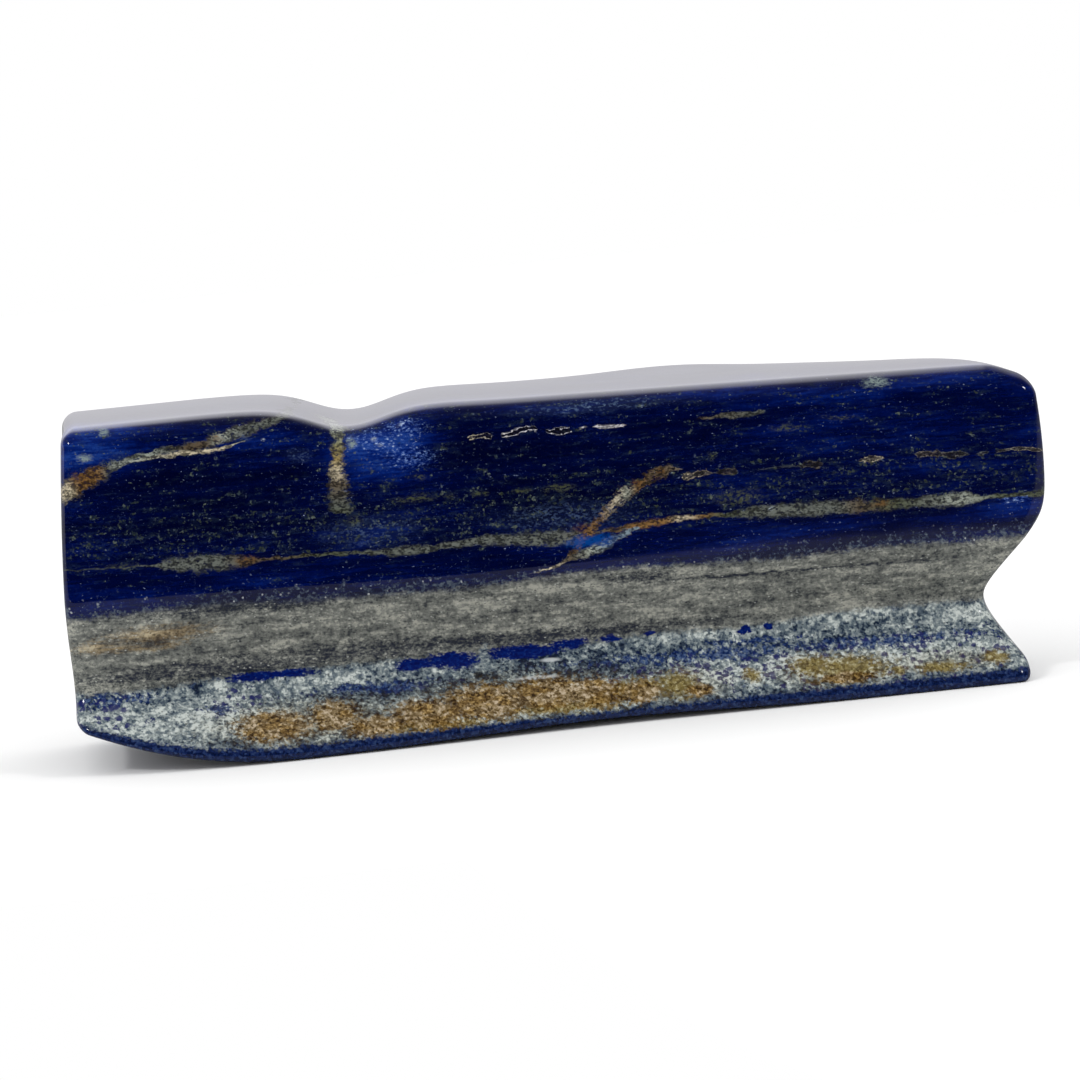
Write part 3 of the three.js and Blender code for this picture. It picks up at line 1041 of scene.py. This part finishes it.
# %% Lay the veins
CROSS_VEIN = {
    "path": [(40, -37.4), (44.2, -37.7), (47.2, -39.5), (53.2, -39.6), (58.4, -38.9), (63.2, -38.3),
             (74, -38.3)],
    "half width": [(45.4, 0), (46.2, 1.3), (48, 1.9), (50.2, 1.7), (53.9, 1.5), (58.8, 1.2), (63.2, 1.5),
                   (74, 1.8)],
    "shades": [(46, OLIVE), (48, GREY), (52, BROWN), (54.5, CREAM), (57, shade(98, 84, 48)),
               (60, shade(90, 88, 62)), (63, PALE), (72, GREY)],
    "reach": 22,
}
CROSS_MIDDLE = -60
VEINS = [LONG_GREY_VEIN, RISING_VEIN, SIDE_BRANCH, SLANTING_VEIN, SLANTING_FOOT, BEADS, UPPER_ROW, RIGHT_ROW]


def paint_veins(n, rock, along, level, inward, crumbs):
    """Lays the veins over the rock, and gives the new colour and a mask of all the veins."""
    crumb, blotch = crumbs["Tone"], crumbs["Blotch"]
    edge = n.weigh(n.times(crumbs["Grit"], 2.6), (blotch, 0.7))
    marks = []
    for facts in VEINS:
        marks.append(vein(n, along, above(n, along, level, facts["path"]), inward, edge, facts))
    path = [(z, x - CROSS_MIDDLE) for z, x in CROSS_VEIN["path"]]
    across = n.math("SUBTRACT", n.math("SUBTRACT", along, CROSS_MIDDLE), line(n, level, path, HIGHEST))
    marks.append(vein(n, level, across, inward, edge, CROSS_VEIN))
    total, colour = marks[0]
    for mask, tint in marks[1:]:
        colour = n.blend(mask, colour, tint)
        total = n.math("MAXIMUM", total, mask)
    colour = n.scale(colour, n.step(n.weigh(crumb, (blotch, 0.5)), 0.25, 0.8, 0.35, 2.1))
    clear = n.step(crumb, 0.05, 0.4, 0.35, 0.95)
    return n.blend(n.times(total, clear), rock, colour), total


print("veins:", len(VEINS) + 1)

# %% [markdown]
# ### Small patches
#
# A few single spots are known by their colour and place alone: a sky-blue glow beside the slanting vein,
# a pale cluster near the top, and some crumbs of calcite and iron. A table holds them all, because it is
# easier to read and to change than a function for each. Each row gives a colour, its strength, the least
# tone of the crumbs that show it, and its spots.

# %% Small patches
PATCHES = [(shade(4, 56, 124), 0.9, 0.0, [(8.6, 36.8, 4.6, 1.1)]),
           (shade(122, 136, 132), 0.85, 0.15,
            [(68.4, 62.2, 2, 1), (-36, 60.8, 0.9, 1), (-89, 63.4, 1.2, 0.7), (-84.7, 68, 1, 0.7)]),
           (shade(84, 104, 130), 0.8, 0.55, [(12, 63.4, 14, 1.3)]),
           (shade(60, 76, 104), 0.75, 0.5, [(4, 42, 13, 2.6), (-57, 64.4, 1.6, 0.9),
                                            (-46.8, 59.5, 2.4, 1.2), (-82.7, 62.7, 1.6, 0.8),
                                            (-34, 43, 9, 3)]),
           (shade(66, 70, 46), 0.8, 0.35, [(38.4, 42.4, 4.2, 1.2), (34, 50.6, 0.6, 0.8),
                                           (-24, 52.6, 1.6, 0.5), (-25, 48.6, 3.4, 0.7),
                                           (-18, 48.2, 1.2, 0.6), (-12, 48.2, 1.4, 0.6), (-4, 48, 1.6, 0.5),
                                           (3.6, 47.7, 2.8, 0.8), (-37.3, 45.4, 1.4, 0.8), (60, 56, 3, 0.5),
                                           (50, 55, 3, 0.5), (-84, 41.2, 3, 0.5)]),
           (shade(96, 66, 30), 0.75, 0.3, [(19, 47.4, 1, 0.6), (24, 48.8, 0.8, 0.6), (7, 39.4, 1.6, 0.8),
                                           (-90.6, 59.6, 1.6, 0.8), (-59.4, 40, 1.8, 0.7),
                                           (66.4, 38, 1.8, 0.6), (-62.5, 64.4, 0.8, 0.6)]),
           (shade(140, 150, 158), 0.9, 0.35, [(-31.7, 60.9, 0.5, 0.4), (-26.5, 63.4, 0.6, 0.4),
                                              (-53.9, 63.3, 0.4, 0.3), (45, 39.4, 0.5, 0.4),
                                              (-30.8, 59.8, 0.5, 0.3)])]


def paint_patches(n, rock, ragged, crumbs):
    for colour, strength, least, spots in PATCHES:
        mask = stains(n, ragged, crumbs["Grit"], spots, depth=6, bite=2.6, softness=0.6)
        clear = n.step(crumbs["Tone"], least, least + 0.4, 0.05, strength)
        rock = n.blend(n.times(mask, clear), rock, colour)
    return rock


print("patches:", sum(len(patch[-1]) for patch in PATCHES))

# %% [markdown]
# ### All together
#
# The layers are laid over each other from the blue rock down to the foot. `MARBLE_TOP` and `WAIST_LINE`
# are the heights of the borders between them, along the front. Grey dust from the marble lies in the
# lowest blue, up to `DUST_TOP`, and lenses of clean lazurite lie between the marble and the foot. The white
# specks in that dust are painted glints, set near the groove's lip where the front starts to tilt down.
# `NICK` is a pale gap in one of the lenses.

# %% The borders between the layers
MARBLE_TOP = [(-100, 31.6), (-93, 31.6), (-82, 31.7), (-72, 31.8), (-45, 30.4), (-30, 29.9), (-10, 29.8),
              (8, 30.6), (30, 29.8), (50, 29.3), (62, 29.6), (80, 29.0), (100, 29.2)]
WAIST_LINE = [(-100, 16.4), (-85, 15.8), (-64, 16.8), (-30, 16.4), (5, 15.9), (20, 16.5), (36, 16),
              (56, 16.8), (72, 16.8), (100, 16.2)]
BLUE_LENSES = [(-57, 16.2, 9, 0.9), (-28, 15.2, 4, 1.2), (-20.5, 15.3, 5.6, 1.6), (-6, 15.6, 8, 1.4),
               (3, 16.2, 4, 1), (11.6, 16.4, 2.5, 0.7), (20, 16.8, 1.4, 0.5), (38.2, 15.2, 1.9, 0.75),
               (43.2, 15.4, 1.0, 0.65)]
DUST_TOP = [(-100, 35.2), (-60, 34.5), (-30, 33.6), (0, 32.6), (20, 32.4), (100, 32.4)]
# This is the white of the painted glints in the lowest blue, near the groove's lip.
PAINTED_GLINT = shade(160, 164, 166)
DUST_SHADES = [(0.3, shade(20, 31, 54)), (0.6, shade(42, 52, 72)), (0.9, shade(82, 92, 102))]
LAZURITE = [(0.2, shade(0, 9, 68)), (0.5, shade(0, 18, 84)), (0.9, shade(4, 36, 104))]
NICK = [(-14, 15, 0.8, 3)]


def dust_blue(n, rock, near_marble, coarse):
    dust = n.weigh(n.times(coarse["Tone"], 0.9), (coarse["Blotch"], 0.3), (near_marble, 0.55))
    rock = n.blend(n.step(dust, 0.78, 1.2, 0, 0.85), rock, n.ramp(coarse["Tone"], *DUST_SHADES))
    # These are painted glints: white specks that thicken towards the marble.
    return n.blend(n.times(coarse["Spark"], near_marble), rock, PAINTED_GLINT)


def lay_lenses(n, rock, ragged, crumbs):
    grit, crumb = crumbs["Grit"], crumbs["Tone"]
    lens = stains(n, ragged, grit, BLUE_LENSES, bite=1.5, softness=0.2)
    rock = n.blend(n.times(lens, n.step(crumb, 1.0, 0.8, 0.35, 1)), rock, n.ramp(crumb, *LAZURITE))
    return n.blend(n.times(stains(n, ragged, grit, NICK), 0.8), rock, n.ramp(crumb, *FOOT_CRUMBS))


print("lenses of lazurite:", len(BLUE_LENSES))

# %% [markdown]
# `paint_stone` calls all these functions in turn. It keeps three masks, of the marble, the veins and the
# ochre, because the polish will need them too. Two sets of crumbs serve the whole stone. The flat ones
# follow the layers in the blue and the marble, and the rounder ones make the foot and the grains in the
# blue.

# %% The whole stone's colour
CRUMB_SIZE = 0.36
FOOT_CRUMB_SIZE = 0.37
ROUNDER = (1, 1, 0.6)


def paint_stone(n):
    """The colour of the whole stone, with masks of the marble, of the veins and of the ochre."""
    where = n.group(position_group)
    flow, ragged = where["Flow"], where["Ragged"]
    crumbs = n.group(crumbs_group, Place=flow, Size=CRUMB_SIZE)
    coarse = n.group(crumbs_group, Place=n.vector("MULTIPLY", flow, ROUNDER), Size=FOOT_CRUMB_SIZE)
    along, _, level = n.split(ragged)
    near_marble = n.step(above(n, along, level, DUST_TOP), 1.5, -3.5)
    rock, fine = paint_lazurite(n, flow, ragged, crumbs)
    rock = sprinkle_grains(n, rock, flow, level, fine, crumbs, coarse)
    rock = mottle_blue(n, rock, ragged, crumbs)
    rock = dust_blue(n, rock, near_marble, coarse)
    rock, veins = paint_veins(n, rock, along, level, where["Inward"], crumbs)
    rock = paint_patches(n, rock, ragged, crumbs)
    marble = paint_marble(n, flow, ragged, crumbs, coarse)
    foot = mark_foot(n, paint_calcite(n, ragged, coarse), flow, ragged, coarse)
    foot, ochre = stain_foot(n, foot, ragged, coarse, where["Above Underside"])
    over_marble = n.weigh(above(n, along, level, MARBLE_TOP), (crumbs["Grit"], 3.0))
    over_waist = n.weigh(above(n, along, level, WAIST_LINE), (crumbs["Grit"], 2.5))
    marble_share = n.step(over_marble, 0.8, -0.8)
    rock = n.blend(marble_share, rock, marble)
    rock = n.blend(n.step(over_waist, 0.6, -0.8), rock, foot)
    return lay_lenses(n, rock, ragged, crumbs), marble_share, veins, ochre


print("size of the flat crumbs:", CRUMB_SIZE, "mm, and of the round ones:", FOOT_CRUMB_SIZE, "mm")

# %% [markdown]
# The material joins the colour to a Principled BSDF. Polish takes well on lazurite and less well on
# marble and rust, so the roughness follows the masks. A very low bump stands for the soft waves that the
# polishing wheel leaves.

# %% Lapis lazuli
WAVES = {"size": 9, "height": 0.015}
ROUGHNESS = {"polished": 0.07, "dull": 0.2, "marble share": 0.5}
SHINE = 0.42


def make_lapis():
    material = bpy.data.materials.new("lapis")
    material.use_nodes = True
    n = Nodes(material.node_tree)
    shader = material.node_tree.nodes["Principled BSDF"]
    rock, marble, veins, ochre = paint_stone(n)
    n.feed(shader.inputs["Base Color"], rock)
    dull = n.math("MAXIMUM", n.times(marble, ROUGHNESS["marble share"]), n.math("MAXIMUM", veins, ochre))
    n.feed(shader.inputs["Roughness"], n.step(dull, 0, 1, ROUGHNESS["polished"], ROUGHNESS["dull"]))
    shader.inputs["Specular IOR Level"].default_value = SHINE
    spot = n.scale(n.add("TexCoord").outputs["Object"], 1 / (WAVES["size"] * MM))
    bump = n.add("Bump")
    n.feed(bump.inputs["Height"], n.noise(spot, detail=1)["Fac"])
    bump.inputs["Distance"].default_value = WAVES["height"] * MM
    n.feed(shader.inputs["Normal"], bump.outputs["Normal"])
    return material


lapis = make_lapis()
stone.data.materials.append(lapis)
print("lapis:", len(lapis.node_tree.nodes), "nodes")
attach(stone, "root")
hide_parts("stone")

# %% [markdown]
# ## Floor and light
#
# The stone stands on a plain white sheet in even studio light, as for a catalogue. The sheet ends a short
# way in front of it, nearer at the left than at the right. There the polished front begins to mirror the
# dark room instead of the sheet, which gives the soft grey haze on the lower half of the stone its sharp
# upper edge. In that mirror the sheet is only a third as white as to the eye, so that it doesn't drown
# the blue.

# %% Floor
FLOOR = {"back": 1600, "side": 1600, "white": 0.95, "mirrored": 0.33, "roughness": 0.9}
FLOOR_FRONT = [(-1600, 160), (-20, 160), (15, 320), (60, 440), (1600, 440)]


def grey_light(light):
    """A grey as light sees it, from 0 to 1."""
    return (light, light, light, 1)


def make_floor():
    """A plain white sheet under the block. Its front edge comes forward at the right."""
    corners = [(x, -distance) for x, distance in FLOOR_FRONT]
    corners += [(FLOOR["side"], FLOOR["back"]), (-FLOOR["side"], FLOOR["back"])]
    mesh = bpy.data.meshes.new("floor")
    mesh.from_pydata([(across * MM, back * MM, 0) for across, back in corners], [], [range(len(corners))])
    floor = bpy.data.objects.new("floor", mesh)
    bpy.context.scene.collection.objects.link(floor)
    mesh.materials.append(make_white_sheet())
    return floor


def make_white_sheet():
    """Matt white, and darker in the polish's mirror."""
    material = bpy.data.materials.new("white sheet")
    material.use_nodes = True
    n = Nodes(material.node_tree)
    shader = material.node_tree.nodes["Principled BSDF"]
    mirrored = n.add("LightPath").outputs["Is Glossy Ray"]
    white = n.blend(mirrored, grey_light(FLOOR["white"]), grey_light(FLOOR["mirrored"]))
    n.feed(shader.inputs["Base Color"], white)
    shader.inputs["Roughness"].default_value = FLOOR["roughness"]
    shader.inputs["Specular IOR Level"].default_value = 0
    return material


floor = make_floor()
print("floor:", floor.dimensions.x, "by", floor.dimensions.y, "m")

# %% [markdown]
# Light comes from everywhere, as in a tent of white cloth. What the polish mirrors is set apart from it
# with the Light Path node: a bright screen behind the stone, which shines in its top and fades away
# overhead, and a dark room in front. Without that dark room the blue would drown in white reflections.
# The screen is brightest at an angle of 20 degrees above the floor. The angle is counted on over the top,
# so that 180 degrees is in front.

# %% Light tent
TENT = {"light": 1.06, "seen": 1.0}
SCREEN = [(0, 0.72), (6, 0.9), (13, 1.3), (20, 1.9), (36, 1.3), (60, 0.34), (90, 0.12), (127, 0.06),
          (150, 0.02), (165, 0)]
SCREEN_END = {"full": 0.12, "gone": 0.24, "left over": 0.3}
SCREEN_WHITE = shade(248, 247, 253)


def make_world():
    world = bpy.data.worlds.new("studio")
    bpy.context.scene.world = world
    world.use_nodes = True
    world.node_tree.nodes.clear()
    n = Nodes(world.node_tree)
    sideways, backwards, upwards = n.split(n.add("TexCoord").outputs["Generated"])
    angle = n.math("DIVIDE", n.math("ARCTAN2", n.math("MAXIMUM", upwards, 0), backwards), math.pi)
    highest = max(light for _, light in SCREEN)
    greys = [(degrees / 180, grey_light(light / highest)) for degrees, light in SCREEN]
    light = n.times(n.ramp(angle, *greys), highest)
    end = n.step(sideways, SCREEN_END["full"], SCREEN_END["gone"], 1, SCREEN_END["left over"])
    mirrored = n.add("Background")
    n.feed(mirrored.inputs["Color"], SCREEN_WHITE)
    n.feed(mirrored.inputs["Strength"], n.times(light, end))
    tent, seen = n.add("Background"), n.add("Background")
    n.feed_all(tent, grey_light(1), TENT["light"])
    n.feed_all(seen, grey_light(1), TENT["seen"])
    path = n.add("LightPath").outputs
    unseen = n.feed_all(n.add("MixShader"), path["Is Glossy Ray"], tent.outputs[0], mirrored.outputs[0])
    both = n.feed_all(n.add("MixShader"), path["Is Camera Ray"], unseen, seen.outputs[0])
    n.feed(n.add("OutputWorld").inputs["Surface"], both)
    return world


make_world()
print("tent light:", TENT["light"])

# %% [markdown]
# Two small softboxes, left and right, give the polished edges their bright glints. They stand well to the
# sides, so that the front doesn't mirror them.

# %% Softboxes
def make_softbox(name, azimuth, elevation, distance, size, power):
    """A square softbox that looks at the block from azimuth degrees to the right of the camera's side."""
    data = bpy.data.lights.new(name, "AREA")
    data.shape = "SQUARE"
    data.size = size * MM
    data.energy = power
    a, e = math.radians(azimuth), math.radians(elevation)
    outward = Vector((math.sin(a) * math.cos(e), -math.cos(a) * math.cos(e), math.sin(e)))
    box = bpy.data.objects.new(name, data)
    box.location = outward * distance * MM
    box.rotation_euler = outward.to_track_quat("Z", "Y").to_euler()
    bpy.context.scene.collection.objects.link(box)
    return box


key = make_softbox("key", azimuth=-52, elevation=42, distance=1500, size=160, power=4)
fill = make_softbox("fill", azimuth=55, elevation=45, distance=1500, size=160, power=2.5)
print("softboxes of", key.data.energy, "and", fill.data.energy, "watts")

# %% [markdown]
# The Standard view transform shows colours just as they are worked out. The softer default one would grey
# the white floor and take strength out of the blue.

# %% Colour of the picture
bpy.context.scene.view_settings.view_transform = "Standard"
print("view transform:", bpy.context.scene.view_settings.view_transform)
